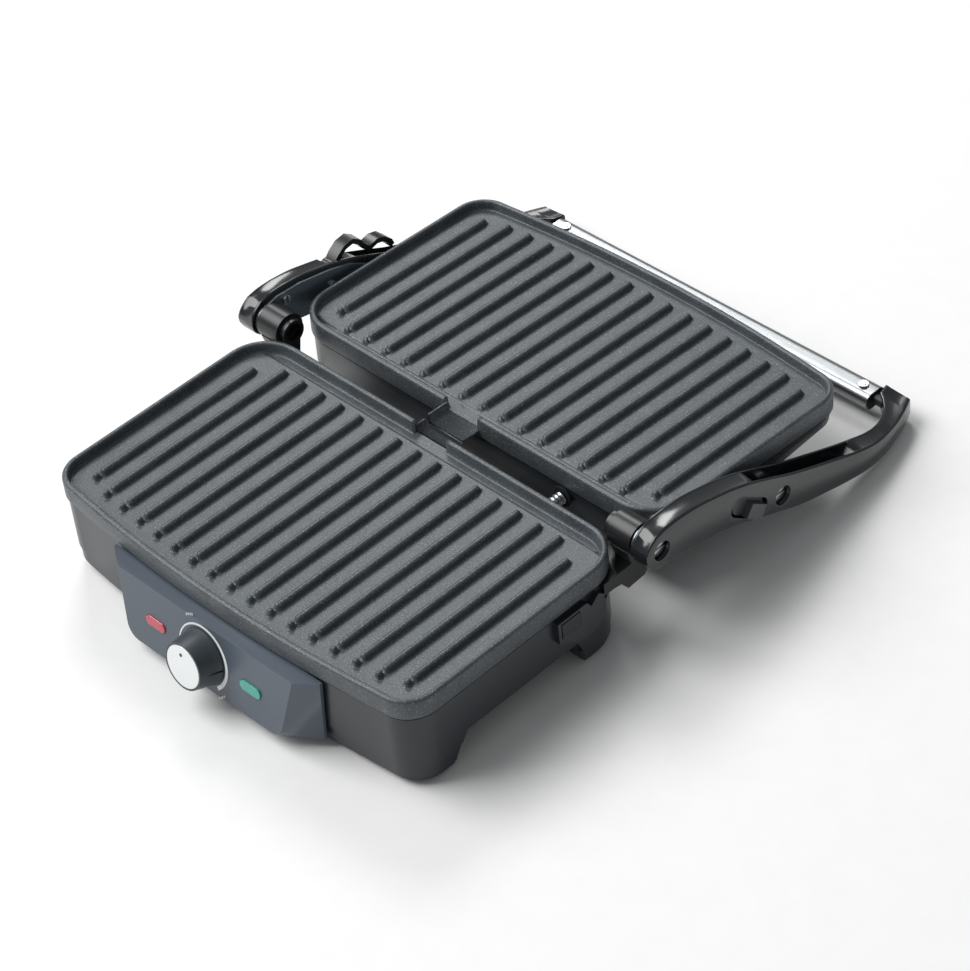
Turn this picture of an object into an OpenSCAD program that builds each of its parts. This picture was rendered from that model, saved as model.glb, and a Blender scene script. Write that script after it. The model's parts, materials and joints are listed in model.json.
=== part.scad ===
// Panini press, lying open flat at 180 degrees. +X is the machine's right, -Y its front,
// +Z up. The origin is on the table, midway between the knob's face and the handle's back.
// Each piece is drawn with Y counted from the hinge axis and Z from the table.

/* [Plates] */
// Width of both cooking plates over their rims
plate_w = 296; // [250:1:350]
// Depth of the lower plate, from its rear rim to the middle of its bowed front rim
lower_plate_d = 174.5; // [160:0.5:215]
// Depth of the upper plate, from its hinge-side rim to its bowed far rim
upper_plate_d = 168; // [155:0.5:210]
// Radius of the bow of the far rims
bow_r = 1100; // [700:10:2000]
// Corner radius at the far side of a plate
far_corner_r = 20; // [14:1:28]
// Corner radius at the hinge side of a plate
near_corner_r = 27; // [18:1:32]
// Height of the rim above the tops of the ribs
rim_rise = 2; // [1:0.5:3]
// Width of the rim
rim_t = 4.5; // [3.5:0.5:6]
// Depth of the skirt below the tops of the ribs
skirt_drop = 11; // [10:0.5:14]
// Wall thickness of the skirt
skirt_t = 3; // [2:0.5:4]
// Thickness of the plate's floor
floor_t = 4; // [3:0.5:5]
// Number of ribs
rib_count = 17; // [13:2:19]
// Distance between ribs
rib_pitch = 16; // [12:0.5:18]
// Height of a rib
rib_h = 4; // [3:0.5:5]
// Width of a rib at its foot
rib_w = 5.2; // [4:0.2:7]
// Width of the grease spouts
spout_w = 27; // [18:1:34]
// Sideways place of the grease spouts
spout_x = -4; // [-20:1:20]

/* [Base] */
// Height of the lower plate's rib tops above the table
rib_top_z = 64; // [58:1:84]
// Thickness of the casing walls
wall_t = 2.5; // [2:0.5:3.5]
// Gap between a plate's skirt and its casing
seam_gap = 1.5; // [1:0.5:3]
// Height of the rubber feet below the casing
foot_h = 2; // [1.5:0.5:4]
// Height of the arches in the two side walls
arch_z = 22.5; // [16:0.5:26]
// Radius of the rubber feet
foot_r = 7; // [5:0.5:8]

/* [Control panel] */
// Width of the panel where it meets the casing
panel_w = 170; // [140:2:190]
// How far the panel's foot stands out from the casing's front wall
panel_out = 16; // [13:0.5:20]
// Lean of the panel's face and of the knob's axis
face_lean = 10; // [4:1:14]
// Radius of the knob at its foot
knob_r = 17.5; // [15:0.5:19]
// Length of the knob
knob_len = 14; // [12:0.5:18]
// Height of the knob's axis at the panel's face
knob_z = 28.5; // [27:0.5:32]
// Distance of each lamp from the knob's axis
lamp_x = 39.5; // [34:0.5:48]

/* [Hinge and arms] */
// Height of the hinge axis above the lower plate's rib tops
hinge_rise = 2.5; // [2:0.5:6]
// Distance from the hinge axis to the lower plate's rear rim
lower_gap = 7.6; // [6:0.1:10]
// Distance from the hinge axis to the upper plate's rim
upper_gap = 12.5; // [11:0.5:15]
// Distance from the hinge axis to the back of the handle
arm_reach = 226.5; // [215:0.5:290]
// Thickness of an arm
arm_t = 12.5; // [11:0.5:16]
// Gap between a plate's side and the steel bracket inside an arm
arm_gap = 3.4; // [3:0.1:6]
// Radius of an arm's nose around the hinge
nose_r = 12; // [11:0.5:13]
// Radius of the hinge pins and the lid's pivot pins
pin_r = 4; // [3:0.5:5]
// Distance from the hinge axis to the lid's pivot
pivot_reach = 97; // [85:0.5:115]
// Drop from the hinge axis to the lid's pivot
pivot_drop = 27.5; // [24:0.5:34]

/* [Handle] */
// Depth of the handle bar, front to back
bar_d = 17; // [14:0.5:22]
// Height of the handle bar
bar_h = 11; // [8:0.5:14]
// Length of each arm's end block, along the handle
cap_l = 18; // [14:0.5:24]

/* [Lid] */
// Drop of the upper plate's rib tops below the lower plate's, with the lid level
lid_drop = 3; // [1:0.5:5]
// Tilt of the lid when the press lies open
lid_tilt = 2.5; // [0:0.5:3]
// Depth of the lid's casing below its rib tops, at the hinge side
lid_deep = 45; // [42:0.5:60]
// Depth of the lid's casing below its rib tops, at the far side
lid_shallow = 25; // [22:0.5:36]

/* [Hidden] */
$fn = 48;
eps = 0.01;
// running clearance of pins in bores, and of loose pieces in their slots
run_gap = 0.05;
slot_gap = 0.4;

// distances from the hinge axis, and heights from the table
hinge_z = rib_top_z + hinge_rise;
lower_far = lower_gap + lower_plate_d;
lower_rim_z = rib_top_z + rim_rise;
lower_skirt_z = rib_top_z - skirt_drop;
upper_rib_z = rib_top_z - lid_drop;
upper_skirt_z = upper_rib_z - skirt_drop;
half_w = plate_w / 2;
// casing outline: set in from the plate's rim at the seam
seam_inset = 1.2;
base_top_z = lower_skirt_z - seam_gap;
lid_top_z = upper_skirt_z - seam_gap;
front_wall = lower_far - seam_inset;
rear_wall = lower_gap + seam_inset;
// ribs: ends counted from the hinge axis, the same for both plates
rib_near = 24;
rib_far = lower_far - 15.2;
upper_rib_far = upper_gap + upper_plate_d - 14;
end_rib_near = 10.5;
end_rib_far = 4;
pip_r = 2;
pip_gap = 5.5;
channel_d = 10.8;
channel_drop = 2;
// panel
face_top_z = base_top_z - 1;
face_foot_z = 8.5;
face_foot_y = front_wall + panel_out;
face_top_y = face_foot_y - (face_top_z - face_foot_z) * tan(face_lean);
face_knob_y = face_foot_y - (knob_z - face_foot_z) * tan(face_lean);
knob_gap = 0.6;
front_reach = face_knob_y + (knob_gap + knob_len) * cos(face_lean);
hinge_y = (front_reach - arm_reach) / 2;
shaft_r = 3;
// arms
bracket_t = 2;
bracket_x = half_w + arm_gap;
arm_x = bracket_x + bracket_t;
arm_out = arm_x + arm_t;
knuckle_gap = 0.4;
knuckle_r = nose_r - 1.4;
knuckle_len = 17;
knuckle_nub = 4;
head_r = pin_r + 1.6;
head_h = 3;
head_well = 6;
pivot_z = hinge_z - pivot_drop;
bar_y = arm_reach - bar_d / 2 - 1;
bar_z = 12;
cap_top_z = bar_z + bar_h / 2 - 0.5;
cap_foot_z = 4;
bar_in = arm_out - cap_l - 17;

// ---------- shared shapes ----------

// everything drawn from the hinge axis goes through here
module at_hinge() { translate([0, hinge_y, 0]) children(); }

// a copy on the left of what is drawn on the right
module both_sides() {
    children();
    mirror([1, 0, 0]) children();
}

// the lid's level shape, turned to its resting tilt about the lid's pivot
module lid_rest() {
    at_hinge() translate([0, pivot_reach, pivot_z]) rotate([-lid_tilt, 0, 0])
        translate([0, -pivot_reach, -pivot_z]) children();
}

// a side outline, in Y and Z, made t thick along +X from x
module side_slab(x, t) {
    translate([x, 0, 0]) rotate([90, 0, 90]) linear_extrude(t) children();
}

module round_rect(w, d, r) {
    translate([-w / 2 + r, 0]) square([w - 2 * r, d]);
    translate([-w / 2, r]) square([w, d - 2 * r]);
    for (x = [-w / 2 + r, w / 2 - r]) for (y = [r, d - r]) translate([x, y]) circle(r);
}

// outline of a plate: y 0 at the hinge side, the far edge bowed out to y d
module plan(d, inset = 0) {
    w = plate_w - 2 * inset;
    far = far_corner_r - inset * 0.6;
    near = near_corner_r - inset * 0.6;
    sag = pow(w / 2 - far, 2) / (2 * bow_r);
    depth = d - 2 * inset;
    translate([0, inset]) {
        translate([-w / 2 + near, 0]) square([w - 2 * near, near + 1]);
        translate([-w / 2, near]) square([w, depth - sag - far - near]);
        translate([-w / 2 + far, depth - sag - far - 1]) square([w - 2 * far, far + 1]);
        for (s = [-1, 1]) {
            translate([s * (w / 2 - near), near]) circle(near);
            translate([s * (w / 2 - far), depth - sag - far]) circle(far);
        }
        intersection() {
            translate([0, depth - bow_r]) circle(bow_r, $fn = 360);
            translate([-w / 2 + far, depth / 2]) square([w - 2 * far, depth / 2]);
        }
    }
}

function bow(x) = x * x / (2 * bow_r);

// one rib along y, from y0 to y1, on a floor at z 0
module rib(y0, y1) {
    top = rib_w * 0.34;
    translate([0, y1, 0]) rotate([90, 0, 0]) linear_extrude(y1 - y0)
        polygon([[-rib_w / 2, -eps], [rib_w / 2, -eps], [rib_w / 2, 0.4], [top / 2, rib_h],
            [-top / 2, rib_h], [-rib_w / 2, 0.4]]);
}

// a cooking plate, drawn from the hinge axis towards +Y, rib tops at z 0
module plate(gap, depth, far, pip_far, tongue) {
    // as many ribs as asked for, or as fit inside the rim
    half = min((rib_count - 1) / 2, floor((half_w - rim_t - rib_w) / rib_pitch));
    floor_z = -rib_h;
    difference() {
        translate([0, gap, -skirt_drop]) linear_extrude(skirt_drop + rim_rise) plan(depth);
        translate([0, gap, floor_z]) linear_extrude(rib_h + rim_rise + 1) plan(depth, rim_t);
        translate([0, gap, -skirt_drop - 1])
            linear_extrude(skirt_drop + 1 - rib_h - floor_t) plan(depth, skirt_t);
        // the drip channel and the way out of it
        translate([0, 0, floor_z - channel_drop]) linear_extrude(channel_drop + 1)
            intersection() {
                translate([0, gap]) plan(depth, rim_t);
                translate([-half_w, gap]) square([plate_w, channel_d]);
            }
        translate([spout_x - spout_w / 2, gap - 1, floor_z - channel_drop])
            cube([spout_w, rim_t + 2, rib_h + rim_rise + channel_drop + 1]);
    }
    for (i = [-half : half]) {
        last = abs(i) == half;
        y0 = rib_near + (last ? end_rib_near : 0);
        y1 = far - bow(i * rib_pitch) - (last ? end_rib_far : 0);
        translate([i * rib_pitch, 0, floor_z]) {
            rib(pip_far ? y0 : y0 + pip_gap, pip_far ? y1 - pip_gap : y1);
            translate([0, pip_far ? y1 : y0, -eps]) cylinder(r = pip_r, h = rib_h + eps);
        }
    }
    // the spout's tongue and its cheeks
    translate([spout_x - spout_w / 2, gap - tongue, floor_z - floor_t]) {
        cube([spout_w, tongue + 1, floor_t - channel_drop]);
        cube([1.5, tongue + 1, floor_t + 2]);
    }
}

// four corner screws under a plate: a place for each, from the hinge axis
plate_screw_x = half_w - 38;
function plate_screw_y(gap, depth) = [gap + 30, gap + depth - 30];

module plate_bosses(gap, depth, z, h, r) {
    for (x = [-plate_screw_x, plate_screw_x]) for (y = plate_screw_y(gap, depth))
        translate([x, y, z]) cylinder(r = r, h = h);
}

function arc(cx, cy, r, a0, a1) =
    [for (k = [0 : 12]) let (a = a0 + (a1 - a0) * k / 12) [cx + r * cos(a), cy + r * sin(a)]];

// one edge of the heater's outline, off its middle line by r
function heater_edge(y, half_run, bend, r) = concat([[40 - half_run, y[0] - r]],
    arc(half_run, y[0] + bend, bend + r, -90, 90),
    arc(-half_run, y[1] + bend, bend - r, -90, -270),
    arc(half_run, y[2] + bend, bend + r, -90, 90), [[40 - half_run, y[3] + r]]);

// a flat-pressed heater: four runs along X joined by three bends, with two cold ends
module element(y_near, y_far, z, r) {
    run_y = [for (i = [0 : 3]) y_near + i * (y_far - y_near) / 3];
    bend = (run_y[1] - run_y[0]) / 2;
    half_run = half_w - 38 - bend;
    one = heater_edge(run_y, half_run, bend, r);
    other = heater_edge(run_y, half_run, bend, -r);
    translate([0, 0, z - r]) linear_extrude(2 * r)
        polygon(concat(one, [for (i = [len(other) - 1 : -1 : 0]) other[i]]));
}

// a shallow tray that throws the heat up at the plate
module reflector(gap, depth, z) {
    inset = skirt_t + 13;
    difference() {
        translate([0, gap, z]) linear_extrude(5) plan(depth, inset);
        translate([0, gap, z + 0.8]) linear_extrude(5) plan(depth, inset + 0.8);
        plate_bosses(gap, depth, z - 1, 8, 4.5);
    }
}

// pan-head screw, head down at z 0, shank upwards
module screw(r, h, head) {
    difference() {
        cylinder(r = head, h = 1.8);
        translate([-head, -0.4, -eps]) cube([2 * head, 0.8, 0.7]);
    }
    translate([0, 0, 1.7]) cylinder(r = r, h = h - 1.7);
}

// ---------- base ----------

element_r = 3.3;
element_z = lower_skirt_z + skirt_drop - rib_h - floor_t - element_r;
reflector_z = element_z - element_r - 5.5;
boss_r = 5;
cover_z = arch_z;
cover_t = 2.5;
leg_x = half_w - 24;
leg_rear_y = rear_wall + 26;
leg_front_y = front_wall - 26;
cover_screw_x = half_w - 34;
cable_x = 76;
cable_z = base_top_z - 6.2;
cable_r = 4;
gland_x = -96;
gland_z = 35;
gland_r = 7;
catch_y = 57;
catch_w = 14;
catch_z = 38.5;
catch_h = 10;
catch_out = 2.8;
catch_push = 3;
post_out = 2.4;
ledge_z = catch_z + catch_h + slot_gap + 1.5;
knuckle_x = bracket_x - knuckle_gap - knuckle_len;

// the casing's body between two heights, drawn in towards its foot, smaller by shrink
foot_bands = [[0, 3.6], [2, 1.8], [4.5, 0.8], [14, 0]];

module base_block(shrink, z0, z1) {
    for (i = [0 : len(foot_bands) - 1]) {
        low = z0 + foot_bands[i][0];
        high = i == len(foot_bands) - 1 ? z1 : z0 + foot_bands[i + 1][0] + 0.4;
        translate([0, lower_gap, low]) linear_extrude(high - low)
            plan(lower_plate_d, seam_inset + foot_bands[i][1] + shrink);
    }
}

// the post behind each side arch, with its outer tab, notch and ledge, and its leg
module side_post() {
    side_slab(half_w - 14.5, 14.5 + post_out)
        polygon([[31, 34], [30, 42], [31, 48], [35, 51], [41, 46], [44, ledge_z],
            [catch_y + 9.5, ledge_z], [catch_y + 9.5, 36], [catch_y + 3, 33], [52, 27], [38, 27]]);
    side_slab(half_w - 14.5, 9.5) {
        polygon([[26, 40], [26, 24], [28.2, 14], [47.8, 14], [52, 22], [56, 40]]);
        for (y = [34, 42]) translate([y, 15]) circle(6);
        translate([34, 9]) square([8, 7]);
    }
}

// where the knuckle's foot is let into the casing's corner
module knuckle_seat(grow) {
    translate([knuckle_x + 2 - grow, -10, 36])
        cube([knuckle_len - 4 + 2 * grow, lower_gap + 31.8, 20]);
}

module catch_slot(grow) {
    translate([half_w - 7 - grow, catch_y - catch_w / 2 - grow, catch_z - grow])
        cube([7 + catch_out + 2 * grow, catch_w + 2 * grow, catch_h + 2 * grow]);
}

// the hollow casing, with an arch from side to side between its legs
arch_near = rear_wall + 42;
arch_far = front_wall - 46;

// the arch between the legs, grown by the legs' wall
module arch_cut(grow, top) {
    side_slab(-half_w - 10, plate_w + 20)
        polygon([[arch_near - grow, top], [arch_near - 4 - grow, 16], [arch_near - 8 - grow, -1],
            [arch_far + 12 + grow, -1], [arch_far + 9 + grow, 8], [arch_far + 5 + grow, 15],
            [arch_far + grow, top]]);
}

module base_shell() {
    difference() {
        base_block(0, foot_h, base_top_z);
        difference() {
            base_block(wall_t, foot_h + wall_t, base_top_z + 5);
            arch_cut(wall_t, arch_z - slot_gap);
        }
        arch_cut(0, arch_z);
        // window behind the control panel
        translate([-panel_w / 2 + 14, front_wall - 12, 15])
            cube([panel_w - 28, 30, base_top_z - 21]);
        // wells for a driver under the cover's screws, and the feet's seats
        plate_bosses(lower_gap, lower_plate_d, -1, 10, 4.5);
        for (x = [-leg_x, leg_x]) for (y = [leg_rear_y, leg_front_y])
            translate([x, y, 0]) cylinder(r = foot_r - 2, h = 6);
        translate([cable_x, 0, cable_z]) rotate([-90, 0, 0])
            cylinder(r = cable_r + 1.3, h = 30);
        translate([gland_x, 0, gland_z]) rotate([-90, 0, 0])
            cylinder(r = gland_r, h = 30);
    }
}

module base_housing() {
    color("#3a4046") at_hinge() mirror([0, 1, 0]) {
        difference() {
            union() {
                base_shell();
                both_sides() side_post();
            }
            both_sides() {
                knuckle_seat(0);
                catch_slot(slot_gap);
                translate([half_w - 16, catch_y - catch_w / 2 - slot_gap, catch_z - slot_gap])
                    cube([16 - seam_inset - wall_t - 0.3, catch_w + 2 * slot_gap, ledge_z]);
            }
        }
        // bosses for the cover and the plate
        difference() {
            union() {
                for (x = [-plate_screw_x, plate_screw_x])
                    for (y = plate_screw_y(lower_gap, lower_plate_d))
                        translate([x, y, cover_z + cover_t])
                            cylinder(r = boss_r, h = reflector_z - 0.5 - cover_z - cover_t);
            }
            plate_bosses(lower_gap, lower_plate_d, 0, base_top_z, 1.8);
        }
        // webs that tie the bosses to the side walls
        for (s = [-1, 1]) for (y = plate_screw_y(lower_gap, lower_plate_d))
            translate([s > 0 ? plate_screw_x + boss_r - 1 : -half_w + seam_inset + 1.5,
                y - 1, cover_z + cover_t])
                cube([half_w - plate_screw_x - boss_r - seam_inset - 0.5, 2, 10]);
    }
}

module bottom_cover() {
    color("#26292c") at_hinge() mirror([0, 1, 0]) difference() {
        translate([0, lower_gap, cover_z]) linear_extrude(cover_t)
            plan(lower_plate_d, seam_inset + wall_t + 1.6);
        plate_bosses(lower_gap, lower_plate_d, cover_z - 1, cover_t + 2, 1.8);
        // notches for the casing's side posts
        both_sides() translate([half_w - 15, 25, cover_z - 1]) cube([20, 31, cover_t + 2]);
        // cooling slots under the thermostat
        for (i = [-4 : 4]) translate([i * 9 - 2, lower_far - 100, cover_z - 1])
            cube([4, 40, cover_t + 2]);
    }
}

module rubber_feet() {
    color("#17181a") at_hinge() mirror([0, 1, 0])
        for (x = [-leg_x, leg_x]) for (y = [leg_rear_y, leg_front_y])
            translate([x, y, 0]) {
                cylinder(r = foot_r, h = foot_h);
                cylinder(r = foot_r - 2.05, h = foot_h + 4);
            }
}

module bottom_screws() {
    color("#9aa0a5") at_hinge() mirror([0, 1, 0])
        for (x = [-plate_screw_x, plate_screw_x])
            for (y = plate_screw_y(lower_gap, lower_plate_d))
                translate([x, y, cover_z - 1.8]) screw(1.75, 12, 3.4);
}

// ---------- control panel ----------

// the panel's solid, shrunk by t for its inside
module panel_block(t) {
    flank = 13;
    foot_half = panel_w / 2 - 24 - t;
    top_half = panel_w / 2 - flank - t;
    back_y = front_wall - (t > 0 ? 12 : 0);
    hull() {
        translate([-top_half, face_top_y - t - 1, face_top_z - t - 1])
            cube([2 * top_half, 1, 1]);
        for (s = [-1, 1]) translate([s * (foot_half - 6), face_foot_y - t, face_foot_z + t])
            rotate([face_lean, 0, 0]) translate([0, 0, 10]) rotate([90, 0, 0])
            cylinder(r = 10, h = 1, $fn = 40);
        translate([-panel_w / 2 + t, back_y - 2, base_top_z - t - 1])
            cube([panel_w - 2 * t, 2, 1]);
        translate([-panel_w / 2 + t + 4, back_y - 2, 7 + t])
            cube([panel_w - 2 * t - 8, 2, 1]);
    }
}

// moves a shape drawn about Z onto the knob's axis, with z 0 on the panel's face
module on_face(x = 0) {
    translate([x, face_knob_y, knob_z]) rotate([face_lean - 90, 0, 0]) children();
}

module lamp_shape(grow) {
    for (x = [-5, 5]) translate([x, 0]) circle(3.2 + grow);
    translate([-5, -3.2 - grow]) square([10, 6.4 + 2 * grow]);
}

module control_panel() {
    color("#4a5259") at_hinge() mirror([0, 1, 0]) difference() {
        panel_block(0);
        panel_block(wall_t);
        base_block(0, foot_h, base_top_z);
        on_face() translate([0, 0, -10]) cylinder(r = 5, h = 20);
        for (x = [-lamp_x, lamp_x]) on_face(x) translate([0, 0, -10])
            linear_extrude(20) lamp_shape(0.1);
    }
}

module lamp(x) {
    at_hinge() mirror([0, 1, 0]) on_face(x) {
        translate([0, 0, -wall_t - 2]) linear_extrude(wall_t + 3) lamp_shape(0);
        translate([0, 0, -wall_t - 14]) cylinder(r = 3, h = 12.5);
    }
}

module power_lamp() { color("#c2344a") lamp(-lamp_x); }

module ready_lamp() { color("#28b0a0") lamp(lamp_x); }

module thermostat() {
    color("#b9b4a8") at_hinge() mirror([0, 1, 0]) on_face() difference() {
        union() {
            translate([0, 0, -wall_t - 1.6]) cylinder(r = 4.8, h = wall_t + 1.4);
            translate([-15, -9, -wall_t - 1.6]) cube([30, 18, 1.5]);
            translate([0, 0, -wall_t - 13]) cylinder(r = 11.5, h = 11.6);
        }
        translate([0, 0, -wall_t - 8]) cylinder(r = shaft_r + run_gap, h = 20);
    }
}

module thermostat_shaft() {
    color("#a8adb2") at_hinge() mirror([0, 1, 0]) on_face()
        translate([0, 0, -wall_t - 7.5]) cylinder(r = shaft_r, h = wall_t + 7.5 + 9);
}

module knob() {
    color("#1d2022") at_hinge() mirror([0, 1, 0]) on_face() difference() {
        union() {
            translate([0, 0, knob_gap]) cylinder(r1 = knob_r, r2 = knob_r - 1.2, h = 4);
            translate([0, 0, knob_gap + 4])
                cylinder(r1 = knob_r - 1.2, r2 = knob_r - 3, h = knob_len - 4);
        }
        translate([0, 0, knob_gap + knob_len - 1]) cylinder(r = knob_r - 4.2, h = 2);
        translate([0, 0, -1]) cylinder(r = shaft_r, h = 10);
        // hollow back, with the shaft's socket left standing
        translate([0, 0, -1]) difference() {
            cylinder(r = knob_r - 3.6, h = 8);
            cylinder(r = shaft_r + 2.5, h = 8);
        }
        // pointer groove along the flank
        translate([knob_r - 2, -0.5, -1]) cube([4, 1, knob_len + 3]);
    }
}

module knob_cap() {
    color("#dfe3e4") at_hinge() mirror([0, 1, 0]) on_face()
        translate([0, 0, knob_gap + knob_len - 1]) cylinder(r = knob_r - 4.25, h = 1);
}

// ---------- inside the base ----------

module lower_plate() {
    color("#5d6267") at_hinge() mirror([0, 1, 0]) translate([0, 0, rib_top_z]) difference() {
        plate(lower_gap, lower_plate_d, rib_far, true, 4.8);
        plate_holes(lower_gap, lower_plate_d);
    }
}

// bosses under a plate that its screws bite in, as blind holes from below
module plate_holes(gap, depth) {
    plate_bosses(gap, depth, -rib_h - floor_t - 1, 3.5, 1.75);
}

module plate_screws(gap, depth, rib_z, z0) {
    for (x = [-plate_screw_x, plate_screw_x]) for (y = plate_screw_y(gap, depth))
        translate([x, y, z0]) {
            cylinder(r = 3.6, h = rib_z - rib_h - floor_t - z0);
            cylinder(r = 1.7, h = rib_z - rib_h - floor_t - z0 + 2);
        }
}

module lower_plate_screws() {
    color("#9aa0a5") at_hinge() mirror([0, 1, 0])
        plate_screws(lower_gap, lower_plate_d, rib_top_z, reflector_z - 0.5);
}

module lower_element() {
    color("#6f6a62") at_hinge() mirror([0, 1, 0])
        element(lower_gap + 38, lower_far - 44, element_z, element_r);
}

module lower_reflector() {
    color("#c9cdd0") at_hinge() mirror([0, 1, 0])
        reflector(lower_gap, lower_plate_d, reflector_z);
}

module terminal_block() {
    color("#e6e2d4") at_hinge() mirror([0, 1, 0]) difference() {
        translate([gland_x + 20, rear_wall + 12, cover_z + cover_t]) cube([34, 16, 8]);
        for (i = [0 : 2]) translate([gland_x + 26 + i * 11, 0, cover_z + cover_t + 5])
            rotate([-90, 0, 0]) cylinder(r = 2, h = 100);
    }
}

module thermal_fuse() {
    color("#d8d2c4") at_hinge() mirror([0, 1, 0])
        translate([20, lower_far - 75, cover_z + cover_t + 4]) {
            rotate([0, 90, 0]) cylinder(r = 4, h = 26);
            translate([-4, -2, -4]) cube([34, 4, 2]);
        }
}

module cord_gland() {
    color("#1b1c1e") at_hinge() mirror([0, 1, 0])
        translate([gland_x, rear_wall - 2, gland_z]) rotate([-90, 0, 0]) difference() {
            union() {
                cylinder(r = gland_r + 2.5, h = 2);
                cylinder(r = gland_r, h = 9);
            }
            translate([0, 0, -1]) cylinder(r = 3.7, h = 12);
        }
}

// a spring sleeve over the wires from the base to the lid
module link_cable() {
    turns = 7;
    length = lower_gap + upper_gap + 2 * seam_inset - 2 * 1.2;
    color("#b9bdc0") at_hinge() translate([cable_x, -rear_wall + 1.2, cable_z])
        rotate([-90, 0, 0]) {
            cylinder(r = cable_r - 1, h = length - 0.8);
            for (i = [0 : turns - 1]) translate([0, 0, (i + 0.25) * (length - 0.8) / turns])
                cylinder(r = cable_r, h = (length - 0.8) / turns / 2);
        }
}

module lower_grommet() {
    color("#1b1c1e") at_hinge() mirror([0, 1, 0])
        translate([cable_x, rear_wall - 1.2, cable_z]) rotate([-90, 0, 0]) difference() {
            union() {
                cylinder(r = cable_r + 2.6, h = 1.2);
                cylinder(r = cable_r + 1.3, h = 6);
            }
            translate([0, 0, -1]) cylinder(r = cable_r - 1, h = 12);
        }
}

module plate_catch() {
    catch_slot(0);
    translate([half_w - 7.4, catch_y - 5, catch_z]) cube([2.9, 10, lower_skirt_z + 3 - catch_z]);
}

module plate_catch_right() {
    color("#33383d") at_hinge() mirror([0, 1, 0]) plate_catch();
}

module plate_catch_left() {
    color("#33383d") at_hinge() mirror([0, 1, 0]) mirror([1, 0, 0]) plate_catch();
}

// ---------- hinge ----------

module hinge_knuckle() {
    side_slab(knuckle_x, knuckle_len) difference() {
        translate([0, hinge_z]) circle(knuckle_r);
        translate([0, hinge_z]) circle(pin_r);
    }
    // the narrower inner end, with its round recess
    side_slab(knuckle_x - knuckle_nub, knuckle_nub + 0.5) difference() {
        translate([0, hinge_z]) circle(knuckle_r - 2.6);
        translate([0, hinge_z]) circle(pin_r + 1.6);
    }
    side_slab(knuckle_x + 2, knuckle_len - 4) difference() {
        polygon([[-lower_gap - 21.8, 44], [-lower_gap - 21.8, 52.2], [-lower_gap + 0.4, 52.2],
            [-knuckle_r + 0.6, hinge_z - 5], [knuckle_r - 0.6, hinge_z - 5], [7, 44],
            [2, 37.5], [-11, 36.5], [-16, 43], [-22, 44]]);
        translate([0, hinge_z]) circle(pin_r);
    }
}

module hinge_knuckle_right() { color("#2c3034") at_hinge() hinge_knuckle(); }

module hinge_knuckle_left() {
    color("#2c3034") at_hinge() mirror([1, 0, 0]) hinge_knuckle();
}

// a shoulder pin along +X from x, with its slotted head at the outside
module pin(x) {
    shank = arm_out - head_well - x;
    translate([x, 0, 0]) rotate([0, 90, 0]) {
        cylinder(r = pin_r, h = shank);
        translate([0, 0, shank]) difference() {
            cylinder(r = head_r, h = head_h);
            translate([-0.8, -head_r, head_h - 1.2]) cube([1.6, 2 * head_r, 2]);
        }
    }
}

module hinge_pins() {
    color("#c6cace") at_hinge() both_sides() translate([0, 0, hinge_z]) pin(knuckle_x + 5);
}

// ---------- arms ----------

// upper and lower edges of an arm, as [distance from the hinge, height below the hinge]
arm_top = [[-5, -9], [-3, -13], [4, -14.6], [14, -14.8], [30, -13], [54, -7], [72, -0.5],
    [90, 8], [103, 14.6], [121, 22], [139, 29], [157, 36], [180, 44], [205, 48.2]];
arm_low = [[3, nose_r - 1], [29, 16], [56, 22.3], [75, 30.6], [94, 38.3], [111, 45.3],
    [121, 48.2], [147, 54.8], [170, 59.5], [190, 62]];

module arm_side() {
    low_rev = [for (i = [len(arm_low) - 1 : -1 : 0]) arm_low[i]];
    translate([0, hinge_z]) circle(nose_r);
    polygon(concat([for (p = arm_top) [p[0], hinge_z - p[1]]],
        [[arm_reach, cap_top_z], [arm_reach, cap_foot_z]],
        [for (p = low_rev) [p[0], hinge_z - p[1]]]));
}

// the arm from above: straight, then bent in to the end of the handle bar
module arm_plan() {
    bend_r = 150;
    steps = 8;
    turn = 27;
    start = arm_reach - bend_r * sin(turn) + 19;
    inner_r = min(46, (arm_x - bar_in - 2) / (1 - cos(56)));
    inner = [for (i = [0 : steps]) let (a = i * 56 / steps)
        [arm_x - inner_r * (1 - cos(a)), arm_reach - 44 + 46 * sin(a) * 0.93]];
    outer = [for (i = [steps : -1 : 0]) let (a = i * turn / steps)
        [arm_out - bend_r * (1 - cos(a)), start - 19 + bend_r * sin(a)]];
    polygon(concat([[arm_x, -nose_r - 1]], inner, [[bar_in, arm_reach]],
        outer, [[arm_out, -nose_r - 1]]));
}

// the trough in the face that looks up when the press lies open
module arm_trough() {
    deep = 11;
    side_slab(arm_x + wall_t, arm_t - 2 * wall_t)
        polygon(concat([for (p = arm_top) if (p[0] > 60 && p[0] < 158)
            [p[0], hinge_z - p[1] - deep]],
            [[155, hinge_z], [72, hinge_z]]));
}

module arm_blank() {
    intersection() {
        side_slab(bar_in - 1, arm_out - bar_in + 1) arm_side();
        translate([0, 0, -1]) linear_extrude(hinge_z + nose_r + 5) arm_plan();
    }
}

// bores for the hinge pin and the lid's pin, with wells for their heads
module arm_bores() {
    for (p = [[0, hinge_z], [pivot_reach, pivot_z]])
        translate([arm_x - 5, p[0], p[1]]) rotate([0, 90, 0]) {
            cylinder(r = pin_r + run_gap, h = 50);
            translate([0, 0, 5 + arm_t - head_well - slot_gap]) cylinder(r = head_r + 0.6, h = 20);
        }
}

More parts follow.
